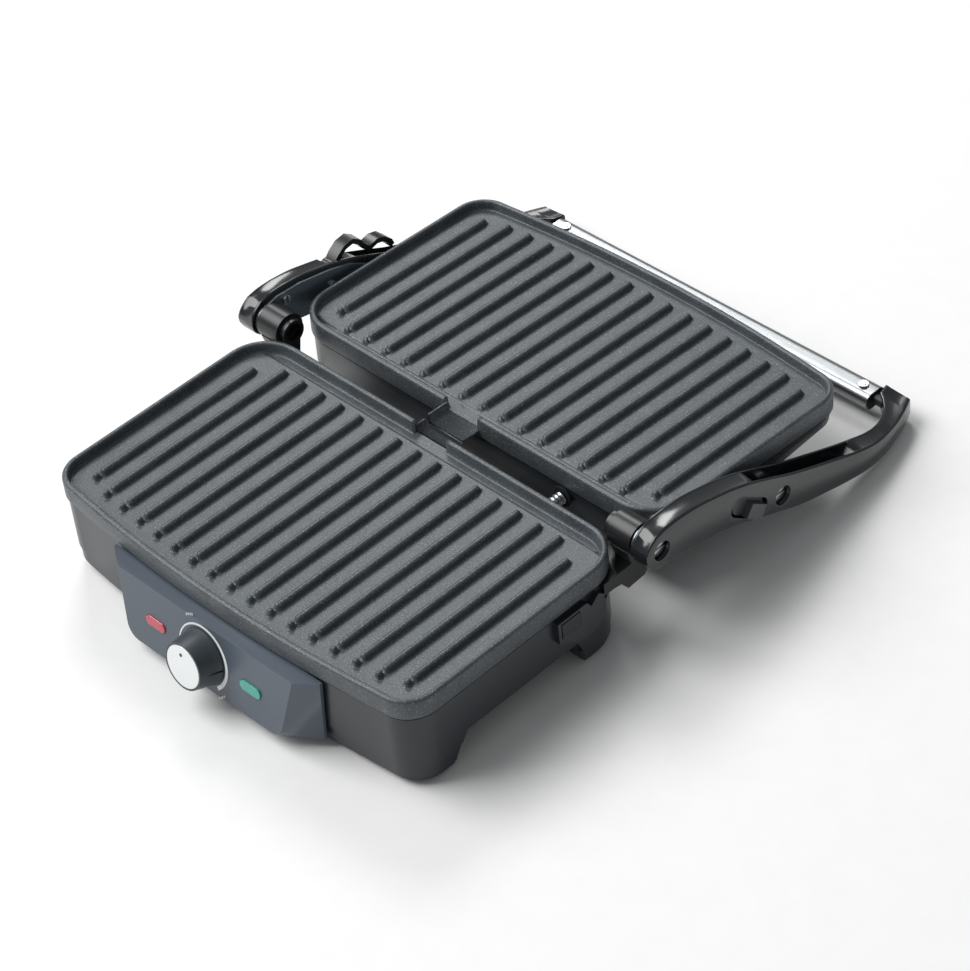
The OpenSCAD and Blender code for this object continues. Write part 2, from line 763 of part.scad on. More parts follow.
module arm_solid(bosses) {
    difference() {
        union() {
            difference() {
                arm_blank();
                arm_trough();
            }
            // the lid's pin passes through a boss across the trough
            translate([arm_x, pivot_reach, pivot_z]) rotate([0, 90, 0])
                cylinder(r = 9, h = arm_t);
        }
        arm_bores();
        translate([bar_in - 1, bar_y, bar_z]) rotate([0, 90, 0]) cylinder(r = 3.6, h = 9);
        bracket_screw_holes();
    }
}

bracket_screw = [14, -6];
bracket_screw2 = [50, 6];

module bracket_screw_holes() {
    for (p = [bracket_screw, bracket_screw2])
        translate([arm_x - 5, p[0], hinge_z - p[1]]) rotate([0, 90, 0])
            cylinder(r = 1.5, h = 12);
}

lock_c = [69.5, hinge_z - 17.5];
lock_r = 6.6;
lock_half = 10;
lock_deep = 5;
lock_travel = 4;
lock_slope = 36;

// a slot shape along the lock's line, from a to b
module lock_slot(a, b, r) {
    translate(lock_c) rotate(-lock_slope) {
        for (y = [a, b]) translate([y, 0]) circle(r);
        translate([a, -r]) square([b - a, 2 * r]);
    }
}

// pocket for the lock's thumb piece in the outer face of the right arm
module lock_pocket() {
    side_slab(arm_out - lock_deep, lock_deep + 1) lock_slot(-lock_half, lock_half, lock_r);
}

module arm_right() {
    color("#2f3438") at_hinge() difference() {
        arm_solid();
        lock_pocket();
    }
}

// the wavy height lever rides in a notch at the outer edge of the left arm
lever_w = 9;
lever_pivot = [58, 2];

module arm_left() {
    color("#2f3438") at_hinge() mirror([1, 0, 0]) difference() {
        arm_solid();
        translate([arm_out - lever_w - 0.5, lever_pivot[0], hinge_z - lever_pivot[1]])
            rotate([0, 90, 0]) cylinder(r = 5.5, h = 20);
        side_slab(arm_out - lever_w - 0.5, 20)
            translate([lever_pivot[0], hinge_z - lever_pivot[1]])
            polygon([[-5.5, 0], [-5.5, 25], [14.5, 25], [14.5, 2], [5.5, 0]]);
        translate([arm_out - lever_w - 3, lever_pivot[0], hinge_z - lever_pivot[1]])
            rotate([0, 90, 0]) cylinder(r = 1.5, h = 20);
    }
}

module height_lever_pin() {
    color("#c6cace") at_hinge() mirror([1, 0, 0])
        translate([arm_out - lever_w - 3, lever_pivot[0], hinge_z - lever_pivot[1]])
        rotate([0, 90, 0]) cylinder(r = 1.5, h = lever_w + 3 - 0.3);
}

// the lever's wave, as points along its middle line from the pivot
lever_line = [[2, 3.2], [5, 6.6], [10.5, 10.4], [17, 11.2], [21.5, 8], [25, 2.5], [29, -1.6],
    [35.5, 0], [41, -1.5], [46, -6.5], [47.2, -10]];
lever_t = 3.4;

// the outline of a ribbon t thick along a line of points
function side_of(a, b) = [a[1] - b[1], b[0] - a[0]] / norm(b - a);
function ribbon_edge(line, t) = [for (i = [0 : len(line) - 1])
    let (n = side_of(line[max(i - 1, 0)], line[max(i, 1)]),
        m = side_of(line[min(i, len(line) - 2)], line[min(i + 1, len(line) - 1)]))
    line[i] + (n + m) * t / (1 + n * m)];

module height_lever() {
    ends = ribbon_edge(lever_line, -lever_t / 2);
    color("#6b6e70") at_hinge() mirror([1, 0, 0]) difference() {
        union() {
            side_slab(arm_out - lever_w, lever_w - 0.1)
                translate([lever_pivot[0], hinge_z - lever_pivot[1]]) circle(4.8);
            side_slab(arm_out - lever_w + 0.3, lever_w - 0.6)
                translate([lever_pivot[0], hinge_z - lever_pivot[1]])
                polygon(concat(ribbon_edge(lever_line, lever_t / 2),
                [for (i = [len(ends) - 1 : -1 : 0]) ends[i]]));
        }
        translate([arm_out - lever_w - 4, lever_pivot[0], hinge_z - lever_pivot[1]])
            rotate([0, 90, 0]) cylinder(r = 1.5 + run_gap, h = 30);
    }
}

// a sliding plate at the bottom of the pocket, with a thumb tab that stands out of it
module lock_lever() {
    half = lock_half - lock_travel / 2 - 0.4;
    color("#7d8184") at_hinge() {
        side_slab(arm_out - lock_deep + 0.2, 1.8)
            lock_slot(lock_half - 0.4 - 2 * half, lock_half - 0.4, lock_r - 0.4);
        side_slab(arm_out - lock_deep + 1, lock_deep + 1) intersection() {
            lock_slot(lock_half - 0.4 - 2 * half, lock_half - 0.4, lock_r - 0.4);
            translate(lock_c) rotate(-lock_slope) translate([-1, -lock_r]) square([14, 1.5 * lock_r]);
        }
    }
}

module arm_bracket() {
    side_slab(bracket_x, bracket_t - 0.05) difference() {
        polygon(concat(arc(0, hinge_z, 9.5, -100, -245),
            [[8, hinge_z + 11.5], [26, hinge_z + 10.5], [50, hinge_z + 5.5],
            [66, hinge_z + 0.5], [80, hinge_z - 8]],
            arc(pivot_reach, pivot_z, 9.5, 60, -120), [[50, hinge_z - 20]]));
        translate([0, hinge_z]) circle(pin_r + run_gap);
        translate([pivot_reach, pivot_z]) circle(pin_r + run_gap);
        for (p = [bracket_screw, bracket_screw2])
            translate([p[0], hinge_z - p[1]]) circle(1.6);
    }
}

module arm_bracket_right() { color("#8d9aa3") at_hinge() arm_bracket(); }

module arm_bracket_left() { color("#8d9aa3") at_hinge() mirror([1, 0, 0]) arm_bracket(); }

module bracket_screws() {
    color("#c6cace") at_hinge() both_sides() for (p = [bracket_screw, bracket_screw2])
        translate([bracket_x - 1.8, p[0], hinge_z - p[1]]) rotate([0, 90, 0])
            screw(1.45, 10, 3);
}

// ---------- handle ----------

// the bar's section, front to back in Y, height in Z
module bar_section(grow) {
    r = bar_h / 2 + grow;
    for (s = [-1, 1]) translate([s * (bar_d / 2 - bar_h / 2), 0]) circle(r);
    translate([-bar_d / 2 + bar_h / 2, -r]) square([bar_d - bar_h, 2 * r]);
}

bar_shell = 1;

module handle_bar() {
    color("#d9dde0") at_hinge() difference() {
        side_slab(-bar_in, 2 * bar_in) translate([bar_y, bar_z]) difference() {
            bar_section(0);
            bar_section(-bar_shell);
            translate([-bar_d, -bar_h]) square([2 * bar_d, bar_h * 0.7]);
        }
        handle_screw_holes(1.6);
    }
}

module handle_screw_holes(r) {
    for (x = [-bar_in + 9, bar_in - 9]) translate([x, bar_y, bar_z - 3]) cylinder(r = r, h = 20);
}

module handle_core() {
    color("#202326") at_hinge() {
        difference() {
            side_slab(-bar_in, 2 * bar_in) translate([bar_y, bar_z]) {
                intersection() {
                    bar_section(-bar_shell);
                    translate([-bar_d, -bar_h]) square([2 * bar_d, 2 * bar_h]);
                }
                intersection() {
                    bar_section(0);
                    translate([-bar_d, -bar_h]) square([2 * bar_d, bar_h * 0.7]);
                }
            }
            handle_screw_holes(1.5);
        }
        // spigots into the arms' end blocks
        both_sides() translate([bar_in - 0.5, bar_y, bar_z]) rotate([0, 90, 0])
            cylinder(r = 3.5, h = 8);
    }
}

module handle_screws() {
    color("#c6cace") at_hinge() for (x = [-bar_in + 9, bar_in - 9])
        translate([x, bar_y, bar_z + bar_h / 2 + 1.4]) mirror([0, 0, 1]) {
            difference() {
                cylinder(r = 3.2, h = 1.4);
                translate([-3.2, -0.4, -eps]) cube([6.4, 0.8, 0.6]);
            }
            cylinder(r = 1.45, h = 8);
        }
}

// ---------- lid ----------

lid_far = upper_gap + upper_plate_d;
lid_near_wall = upper_gap + seam_inset;
upper_element_z = upper_rib_z - rib_h - floor_t - element_r;
upper_reflector_z = upper_element_z - element_r - 4;
lid_cable_z = cable_z - (pivot_reach - lid_near_wall) * sin(lid_tilt);
lid_bush_r = 8;

module lid_slab(z, inset) {
    translate([0, upper_gap, z]) linear_extrude(0.2) plan(upper_plate_d, inset);
}

module lid_block(shrink, extra) {
    r = 12 - shrink;
    hull() {
        lid_slab(lid_top_z - 0.2 + extra, seam_inset + shrink);
        lid_slab(lid_top_z - 6, seam_inset + 0.8 + shrink);
        for (s = [-1, 1]) {
            translate([s * (half_w - 18), upper_gap + 17, upper_rib_z - lid_deep + 12])
                sphere(r, $fn = 32);
            translate([s * (half_w - 15), lid_far - 32, upper_rib_z - lid_shallow + 6])
                sphere(6 - shrink, $fn = 32);
        }
    }
}

module lid_housing() {
    color("#3a4046") lid_rest() {
        difference() {
            lid_block(0, 0);
            lid_block(wall_t, 5);
            for (s = [-1, 1]) translate([s * half_w - 20, pivot_reach, pivot_z])
                rotate([0, 90, 0]) cylinder(r = lid_bush_r, h = 40);
            translate([cable_x, 0, lid_cable_z]) rotate([-90, 0, 0])
                cylinder(r = cable_r + 1.3, h = 30);
        }
        difference() {
            intersection() {
                lid_block(0.5, 0);
                plate_bosses(upper_gap, upper_plate_d, 0, upper_reflector_z - 0.5, boss_r);
            }
            plate_bosses(upper_gap, upper_plate_d, upper_reflector_z - 9, 12, 1.8);
        }
    }
}

module upper_plate() {
    color("#5d6267") lid_rest() translate([0, 0, upper_rib_z]) difference() {
        plate(upper_gap, upper_plate_d, upper_rib_far, false, 13);
        plate_holes(upper_gap, upper_plate_d);
    }
}

module upper_element() {
    color("#6f6a62") lid_rest()
        element(upper_gap + 38, lid_far - 44, upper_element_z, element_r);
}

module upper_reflector() {
    color("#c9cdd0") lid_rest() reflector(upper_gap, upper_plate_d, upper_reflector_z);
}

module upper_plate_screws() {
    color("#9aa0a5") lid_rest()
        plate_screws(upper_gap, upper_plate_d, upper_rib_z, upper_reflector_z - 0.5);
}

module lid_bushes() {
    color("#a8adb2") lid_rest() both_sides()
        translate([half_w - 14, pivot_reach, pivot_z]) rotate([0, 90, 0]) difference() {
            cylinder(r = lid_bush_r, h = 14 + arm_gap - knuckle_gap);
            translate([0, 0, -1]) cylinder(r = pin_r, h = 40);
        }
}

module lid_pins() {
    color("#c6cace") lid_rest() both_sides() translate([0, pivot_reach, pivot_z])
        pin(half_w - 10);
}

module upper_grommet() {
    color("#1b1c1e") lid_rest() translate([cable_x, lid_near_wall - 1.2, lid_cable_z])
        rotate([-90, 0, 0]) difference() {
            union() {
                cylinder(r = cable_r + 2.6, h = 1.2);
                cylinder(r = cable_r + 1.3, h = 6);
            }
            translate([0, 0, -1]) cylinder(r = cable_r - 1, h = 12);
        }
}

module upper_fuse() {
    color("#d8d2c4") lid_rest() translate([30, pivot_reach, upper_reflector_z - 6]) {
        rotate([0, 90, 0]) cylinder(r = 4, h = 26);
        translate([-4, -2, 3]) cube([34, 4, 2]);
    }
}

base_housing();
bottom_cover();
control_panel();
power_lamp();
ready_lamp();
thermostat();
terminal_block();
thermal_fuse();
cord_gland();
rubber_feet();
bottom_screws();
lower_plate();
lower_element();
lower_reflector();
lower_plate_screws();
hinge_knuckle_left();
hinge_knuckle_right();
hinge_pins();
link_cable();
lower_grommet();
plate_catch_left();
plate_catch_right();
knob();
knob_cap();
thermostat_shaft();
arm_left();
arm_right();
arm_bracket_left();
arm_bracket_right();
handle_bar();
handle_core();
handle_screws();
bracket_screws();
lock_lever();
height_lever();
height_lever_pin();
lid_housing();
upper_plate();
upper_element();
upper_reflector();
upper_plate_screws();
lid_bushes();
lid_pins();
upper_grommet();
upper_fuse();
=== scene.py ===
import json
import math
import bmesh
import bpy
import numpy as np
from mathutils import Matrix, Vector


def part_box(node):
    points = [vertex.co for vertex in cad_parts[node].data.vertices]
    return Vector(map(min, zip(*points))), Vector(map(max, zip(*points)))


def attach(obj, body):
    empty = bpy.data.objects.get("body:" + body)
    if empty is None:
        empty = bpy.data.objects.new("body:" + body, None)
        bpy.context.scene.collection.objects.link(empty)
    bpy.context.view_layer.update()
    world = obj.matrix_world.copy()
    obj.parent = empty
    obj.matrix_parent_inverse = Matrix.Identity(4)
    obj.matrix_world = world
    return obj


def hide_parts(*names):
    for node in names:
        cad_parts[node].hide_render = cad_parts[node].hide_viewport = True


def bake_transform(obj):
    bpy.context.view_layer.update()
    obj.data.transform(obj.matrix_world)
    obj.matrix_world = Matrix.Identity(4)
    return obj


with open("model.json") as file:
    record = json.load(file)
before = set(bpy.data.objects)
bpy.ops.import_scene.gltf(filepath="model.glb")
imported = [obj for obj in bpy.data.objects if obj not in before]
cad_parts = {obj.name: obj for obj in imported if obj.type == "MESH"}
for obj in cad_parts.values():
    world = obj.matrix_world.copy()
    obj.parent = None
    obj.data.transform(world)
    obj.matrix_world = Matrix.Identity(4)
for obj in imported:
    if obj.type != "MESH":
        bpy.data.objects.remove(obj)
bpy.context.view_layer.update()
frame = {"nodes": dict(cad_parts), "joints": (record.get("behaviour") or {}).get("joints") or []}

# ---------------------------------------------------------------- view
# The press lies open on a table top and is seen from above its front right corner
# with a long lens, so the two plates run away from the eye with little narrowing.
view_turn, view_fall, view_roll = (math.radians(a) for a in (49.695, 41.432, -6.911))
lens_mm, film_mm = 125.99, 36.0
camera_place = (1.13107, -0.94680, 1.31329)
level_right = Vector((math.cos(view_turn), math.sin(view_turn), 0))
forward = Vector((-math.sin(view_turn) * math.cos(view_fall),
                  math.cos(view_turn) * math.cos(view_fall), -math.sin(view_fall)))
level_up = level_right.cross(forward)
right = math.cos(view_roll) * level_right + math.sin(view_roll) * level_up
up = -math.sin(view_roll) * level_right + math.cos(view_roll) * level_up
camera = bpy.data.objects.new("camera", bpy.data.cameras.new("camera"))
camera.data.lens, camera.data.sensor_width = lens_mm, film_mm
camera.data.clip_start, camera.data.clip_end = 0.05, 30
camera.matrix_world = Matrix.Translation(camera_place) @ Matrix(
    (right, up, -forward)).transposed().to_4x4()
bpy.context.scene.collection.objects.link(camera)
bpy.context.scene.camera = camera


# ---------------------------------------------------------------- table and studio light
# A seamless matt white table top, which bounces the light back up on the press. One large
# soft box stands high in front on the left, and a small one behind draws the far edges.
def linear(hex_colour):
    """An sRGB hex value as linear RGBA: c/12.92 in the dark toe, ((c+0.055)/1.055)^2.4
    above."""
    c = np.array([int(hex_colour[i:i + 2], 16) / 255 for i in (1, 3, 5)])
    c = np.where(c <= 0.04045, c / 12.92, ((c + 0.055) / 1.055) ** 2.4)
    return (*[float(v) for v in c], 1.0)


def add(tree, kind, links=(), **settings):
    """Adds a node. A setting is one of the node's own options, an input's name, or _ and an
    input's number. A link is (input of this node, node it comes from, its output)."""
    node = tree.nodes.new("ShaderNode" + kind)
    for name, value in settings.items():
        if hasattr(node, name):
            setattr(node, name, value)
        elif name.startswith("_"):
            node.inputs[int(name[1:])].default_value = value
        else:
            node.inputs[name.replace("_", " ")].default_value = value
    for socket, source, output in links:
        tree.links.new(source.outputs[output], node.inputs[socket])
    return node


def finish(name, colour, rough, metal=0.0, **more):
    """A new material with one Principled shader, its tree and shader, and a node that gives
    places on the piece, for the patterns."""
    material = bpy.data.materials.new(name)
    material.use_nodes = True
    tree = material.node_tree
    shader = tree.nodes["Principled BSDF"]
    shader.inputs["Base Color"].default_value = linear(colour)
    shader.inputs["Roughness"].default_value = rough
    shader.inputs["Metallic"].default_value = metal
    for socket, value in more.items():
        shader.inputs[socket.replace("_", " ")].default_value = value
    material.diffuse_color = linear(colour)
    return material, tree, shader, add(tree, "TexCoord")


def grid_faces(rows, columns, round_columns=False):
    """Quads of a grid of points numbered row by row. The columns can close into a ring."""
    r = np.arange(rows - 1)[:, None]
    c = np.arange(columns if round_columns else columns - 1)[None, :]
    c1 = (c + 1) % columns
    return [tuple(f) for f in np.stack(
        [r * columns + c, r * columns + c1, (r + 1) * columns + c1, (r + 1) * columns + c],
        -1).reshape(-1, 4)]


def surface(name, parts, material, body, replaces=(), smooth=True):
    """One object from several parts, each (points in millimetres, faces). It rides on a CAD
    body."""
    points, faces, start = [], [], 0
    for p, f in parts:
        points.append(np.asarray(p, float).reshape(-1, 3))
        faces += [tuple(int(i) + start for i in face) for face in f]
        start += len(points[-1])
    mesh = bpy.data.meshes.new(name)
    mesh.from_pydata((np.concatenate(points) / 1000).tolist(), [], faces)
    mesh.polygons.foreach_set("use_smooth", np.full(len(mesh.polygons), smooth))
    mesh.materials.append(material)
    mesh.update()
    piece = bpy.data.objects.new(name, mesh)
    bpy.context.scene.collection.objects.link(piece)
    if body:
        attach(piece, body)
    if replaces:
        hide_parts(*replaces)
    return piece


# matt board: white with barely visible clouds some 17 mm across
table_top, tree, shader, place = finish("matt_white_table", "#f4f4f3", 0.6)
cloud = add(tree, "TexNoise", [("Vector", place, "Object")], Scale=60.0, Detail=4.0)
mix = add(tree, "Mix", [("Factor", cloud, "Fac")], data_type="RGBA",
          _6=linear("#f2f2f1"), _7=linear("#f7f7f6"))
tree.links.new(mix.outputs[2], shader.inputs["Base Color"])
table_half, table_drop, table_cells = 4000, 0.05, 9
along = np.linspace(-table_half, table_half, table_cells)
table_x, table_y = np.meshgrid(along, along)
table = surface("table", [(np.stack([table_x, table_y, 0 * table_x - table_drop], -1),
                           grid_faces(table_cells, table_cells))], table_top, None)

sky = bpy.data.worlds.new("studio")
bpy.context.scene.world = sky
sky.use_nodes = True
background = sky.node_tree.nodes["Background"]
background.inputs["Color"].default_value = linear("#f4f6f8")
background.inputs["Strength"].default_value = 0.27
bpy.context.scene.view_settings.view_transform = "Standard"


def soft_box(name, place, size, watts):
    """A square lamp, turned to shine at the middle of the press."""
    lamp = bpy.data.objects.new(name, bpy.data.lights.new(name, "AREA"))
    lamp.data.size, lamp.data.energy = size, watts
    lamp.location = place
    lamp.rotation_mode = "QUATERNION"
    lamp.rotation_quaternion = (-Vector(place)).to_track_quat("-Z", "Y")
    bpy.context.scene.collection.objects.link(lamp)


soft_box("key_box", place=(-2.9, -2.0, 4.2), size=4.2, watts=320)
soft_box("back_box", place=(-2.0, 1.7, 2.4), size=1.1, watts=34)

# ---------------------------------------------------------------- cooking plates
# Each plate is die-cast aluminium under a dark non-stick coat, screwed to its casing: a
# bowed tray with a rounded rim, seventeen ribs, a drip channel beside the hinge and a spout
# cut through the rim. It is set out in millimetres from the hinge's axis.
nodes = frame["nodes"]
joint_at = {j["name"]: np.array(j["pos_m"]) * 1000 for j in frame["joints"] if "pos_m" in j}
hinge_y, hinge_z = joint_at["arm_hinge"][1:]
pivot_y, pivot_z = joint_at["lid_pivot"][1:]


def box_mm(node):
    """A CAD node's lowest and highest corners in millimetres, as two arrays."""
    low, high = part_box(node)
    return np.array(low) * 1000, np.array(high) * 1000


def nonstick():
    """Sprayed and baked PTFE coat: dark satin grey, clouded in patches some 18 mm across,
    with paler flecks of about 1 mm and an orange peel of 0.7 mm from bump to bump. Both are
    drawn coarser than the real ones, so that they show."""
    material, tree, shader, place = finish("baked_ptfe_nonstick", "#4b5054", 0.4, 0.15)
    mottle = add(tree, "TexNoise", [("Vector", place, "Object")], Scale=55.0, Detail=3.0)
    tone = add(tree, "ValToRGB", [("Fac", mottle, "Fac")])
    for stop, position, colour in zip(tone.color_ramp.elements, (0.3, 0.7),
                                      ("#42474b", "#50565a")):
        stop.position, stop.color = position, linear(colour)
    speck = add(tree, "TexNoise", [("Vector", place, "Object")], Scale=1100.0, Detail=2.0)
    fleck = add(tree, "MapRange", [("Value", speck, "Fac")], From_Min=0.56, From_Max=0.74)
    colour = add(tree, "Mix", [("Factor", fleck, "Result"), (6, tone, "Color")],
                 data_type="RGBA", _7=linear("#7e8489"))
    tree.links.new(colour.outputs[2], shader.inputs["Base Color"])
    gloss = add(tree, "MapRange", [("Value", mottle, "Fac")], To_Min=0.36, To_Max=0.46)
    tree.links.new(gloss.outputs[0], shader.inputs["Roughness"])
    peel = add(tree, "TexNoise", [("Vector", place, "Object")], Scale=1400.0, Detail=1.0)
    bump = add(tree, "Bump", [("Height", peel, "Fac")], Strength=0.55, Distance=0.00025)
    tree.links.new(bump.outputs[0], shader.inputs["Normal"])
    return material


coat = nonstick()
rib_pitch, rib_count, rib_half, rib_high = 16.0, 17, 2.6, 4.0
pip_r, pip_gap, outer_rib_near, outer_rib_far = 2.4, 4.2, 10.5, 4
rim_wide, near_corner, far_corner, bow = 4.5, 27.0, 20.0, 1100.0
channel_wide, channel_deep, channel_step, rib_clear = 10.8, 2.0, 0.9, 12
spout_left, spout_right, spout_floor, spout_side = -17.5, 9.5, -6.0, 0.7
underside = -8.2
plate_low, plate_high = box_mm("lower_plate")
edge = (plate_high - plate_low)[0] / 2 - rim_wide
rib_lines = (np.arange(rib_count) - (rib_count - 1) / 2) * rib_pitch
# lip of the rim from its inner foot over the top to the skirt's lower edge and inside:
# distance outwards from the foot, and height from the rib tops
lip = np.array([(0.25, -3.75), (0.5, -3.2), (0.62, -2.0), (0.75, 0.4), (1.05, 1.35),
                (1.6, 1.85), (2.4, 2.0), (3.2, 1.85), (3.9, 1.4), (4.35, 0.7), (4.5, -0.2),
                (4.5, -5.5), (4.5, -10.3), (4.25, -10.9), (3.6, -11.0), (2.1, -11.0),
                (1.6, -10.6), (1.5, -9.5), (1.5, underside)])


def tray_columns(near_r):
    """Where the tray's columns stand: closer together over each rib, on both sides of the
    spout's cheeks, and round the corners by equal steps of angle, where x is
    r*sin(angle)."""
    over_rib = np.array([-8, -3.4, -2.6, -2.45, -2.1, -1.6, -0.9, 0, 0.9, 1.6, 2.1, 2.45,
                         2.6, 3.4])
    x = (rib_lines[:, None] + over_rib).ravel()
    half = spout_side / 2
    cheeks = np.array([spout_left - half, spout_left + half,
                       spout_right - half, spout_right + half])
    x = x[np.min(np.abs(x[:, None] - cheeks), 1) > 0.3]
    corner = edge - near_r + near_r * np.sin(np.linspace(0.34, 1, 13) * math.pi / 2)
    corner = corner[corner > rib_lines[-1] + 4]
    x = np.concatenate([x[np.abs(x) < rib_lines[-1] + 3.5], cheeks, corner, -corner])
    return np.unique(np.round(x, 3))


def ribbed_tray(gap, depth, rib_near, rib_far, pip_at_far):
    """The tray seen from the hinge: x across, y away from it, z from the rib tops. Each
    column runs straight from the near edge to the far one, which bows by x^2/(2*bow).
    Height is the floor, lowered in the drip channel by a smooth step, and raised over a rib
    by rib_high*(1-(d/rib_half)^3)^(2/3), where d is the distance to the rib's line, and
    over its pip by rib_high*(1-(d/pip_r)^4)^(3/4), where d is the distance to the pip."""
    near_r, far_r = near_corner - rim_wide, far_corner - rim_wide
    x = tray_columns(near_r)
    reach = np.clip(np.abs(x) - (edge - near_r), 0, near_r)
    near = gap + rim_wide + near_r - np.sqrt(near_r ** 2 - reach ** 2)
    reach = np.clip(np.abs(x) - (edge - far_r), 0, far_r)
    flat = np.minimum(np.abs(x), edge - far_r)
    far = (gap + depth - rim_wide - flat ** 2 / (2 * bow)
           - far_r + np.sqrt(far_r ** 2 - reach ** 2))
    steps = np.concatenate([np.linspace(0, 28, 36), np.linspace(36, depth - 46, 9),
                            np.linspace(depth - 40, depth - 2 * rim_wide, 38)])
    y = near + (steps / steps[-1])[:, None] * (far - near)
    x = np.broadcast_to(x, y.shape)
    step = np.clip((y - (gap + channel_wide)) / channel_step + 0.5, 0, 1)
    bed = -rib_high - channel_deep * (1 - step * step * (3 - 2 * step))
    last = (rib_count - 1) / 2
    i = np.clip(np.round(x / rib_pitch), -last, last)
    outermost = np.abs(i) == last
    line = i * rib_pitch
    start = rib_near + np.where(outermost, outer_rib_near, 0)
    end = rib_far - line ** 2 / (2 * bow) - np.where(outermost, outer_rib_far, 0)
    pip_y = end if pip_at_far else start
    start = start + (0 if pip_at_far else pip_gap)
    end = end - (pip_gap if pip_at_far else 0)
    rounding = 1.6
    past_end = np.maximum(np.maximum(start + rounding - y, y - end + rounding), 0)
    d = np.hypot(x - line, past_end)
    rib = rib_high * (1 - np.clip(d / rib_half, 0, 1) ** 3) ** (2 / 3)
    d = np.hypot(x - line, y - pip_y)
    pip = rib_high * (1 - np.clip(d / pip_r, 0, 1) ** 4) ** (3 / 4)
    rise = np.maximum(rib, pip) * (y > gap + rib_clear)
    return np.stack([x, y, bed + rise], -1)


def closed_plate(tray):
    """The lip's profile carried round the tray's edge, each ring standing outwards by the
    profile's distance. Between the spout's cheeks the lip is cut down to the channel's
    floor. Two smaller rings and a middle point close the underside."""
    rows, columns = tray.shape[:2]
    index = np.arange(rows * columns).reshape(rows, columns)
    loop = np.concatenate([index[0, :], index[1:-1, -1], index[-1, ::-1],
                           index[-2:0:-1, 0]])
    rim = tray.reshape(-1, 3)[loop]
    run = np.roll(rim[:, :2], -1, 0) - np.roll(rim[:, :2], 1, 0)
    outward = np.stack([run[:, 1], -run[:, 0]], -1)
    outward /= np.linalg.norm(outward, axis=1)[:, None]
    in_spout = (np.clip((rim[:, 0] - spout_left) / spout_side + 0.5, 0, 1)
                * np.clip((spout_right - rim[:, 0]) / spout_side + 0.5, 0, 1)
                * (np.arange(len(loop)) < columns))
    rings = []
    for out, high in lip:
        ring = np.empty_like(rim)
        ring[:, :2] = rim[:, :2] + outward * out
        cut = np.minimum(high, spout_floor - 0.06 * max(out - 3.6, 0))
        ring[:, 2] = high + (cut - high) * in_spout
        if high < -rib_high or out == lip[0, 0]:
            ring[:, 2] = np.where(in_spout > 0.5, np.minimum(ring[:, 2], spout_floor),
                                  ring[:, 2])
        rings.append(ring)
    centre = rim.mean(0)
    for share in (0.9, 0.5):
        ring = centre + (rings[-1] - centre) * share
        ring[:, 2] = underside
        rings.append(ring)
    points = [tray.reshape(-1, 3)] + rings + [np.array([[*centre[:2], underside]])]
    faces = grid_faces(rows, columns)
    n, first, previous = len(loop), rows * columns, loop
    for k in range(len(rings)):
        ring = first + k * n + np.arange(n)
        faces += [tuple(f) for f in np.stack([previous, ring, np.roll(ring, -1),
                                              np.roll(previous, -1)], -1)]
        previous = ring
    hub = first + len(rings) * n
    faces += [(a, hub, b) for a, b in zip(previous, np.roll(previous, -1))]
    return np.concatenate(points), faces


def drip_tongue(gap, long):
    """A trough with one cheek: its section carried out of the spout towards the other
    plate, and drawn in by the tuck at its end to round the edge."""
    wide = spout_right - spout_left
    section = np.array([(0, -6), (wide - 0.4, -6), (wide, -6.4), (wide, -7.7),
                        (wide - 0.4, -8.1), (-1.2, -8.1), (-1.6, -7.7), (-1.6, -1.2),
                        (-1.3, -0.8), (-0.5, -0.8), (-0.2, -1.2)])
    stations = np.array([(2, 0), (0.6 - long, 0), (0.15 - long, 0.12), (-long, 0.35)])
    middle = section.mean(0)
    inwards = (middle - section) / np.linalg.norm(section - middle, axis=1)[:, None]
    inset, narrower = 1.7, 0.985
    trough = []
    for out, tuck in stations:
        shape = section + inwards * tuck
        trough.append(np.column_stack([spout_left + inset + shape[:, 0] * narrower,
                                       np.full(len(shape), gap + out), shape[:, 1]]))
    n, last = len(section), (len(stations) - 1) * len(section)
    wall = [f[::-1] for f in grid_faces(len(stations), n, round_columns=True)]
    return np.concatenate(trough), wall + [tuple(range(n))[::-1],
                                           tuple(range(last, last + n))]


def set_out(parts, forwards, base_z, tilt=0.0):
    """Moves parts drawn from the hinge to their place: y runs towards the front for the
    base, or away from it for the lid, which is then tilted about the lid's pivot. Where the
    direction is turned round, so are the faces."""
    done = []
    for points, faces in parts:
        p = np.array(points, float)
        p[:, 2] += base_z
        if forwards:
            p[:, 1] = hinge_y - p[:, 1]
            faces = [tuple(f)[::-1] for f in faces]
        else:
            p[:, 1] += hinge_y
        if tilt:
            c, s = math.cos(-tilt), math.sin(-tilt)
            dy, dz = p[:, 1] - pivot_y, p[:, 2] - pivot_z
            p[:, 1], p[:, 2] = pivot_y + c * dy - s * dz, pivot_z + s * dy + c * dz
        done.append((p, faces))
    return done


lid_tilt = math.radians(2.5)
rib_top_z, lid_lower = hinge_z - 2.5, 3
lower_gap, upper_gap = 7.6, 12.5
lower = [closed_plate(ribbed_tray(lower_gap, 174.5, 24, 166.9, pip_at_far=True)),
         drip_tongue(lower_gap, long=4.8)]
upper = [closed_plate(ribbed_tray(upper_gap, 168.0, 24, 166.5, pip_at_far=False)),
         drip_tongue(upper_gap, long=13)]
surface("lower_cooking_plate", set_out(lower, True, rib_top_z), coat, "base",
        ["lower_plate"])
surface("upper_cooking_plate", set_out(upper, False, rib_top_z - lid_lower, lid_tilt), coat,
        "lid", ["upper_plate"])


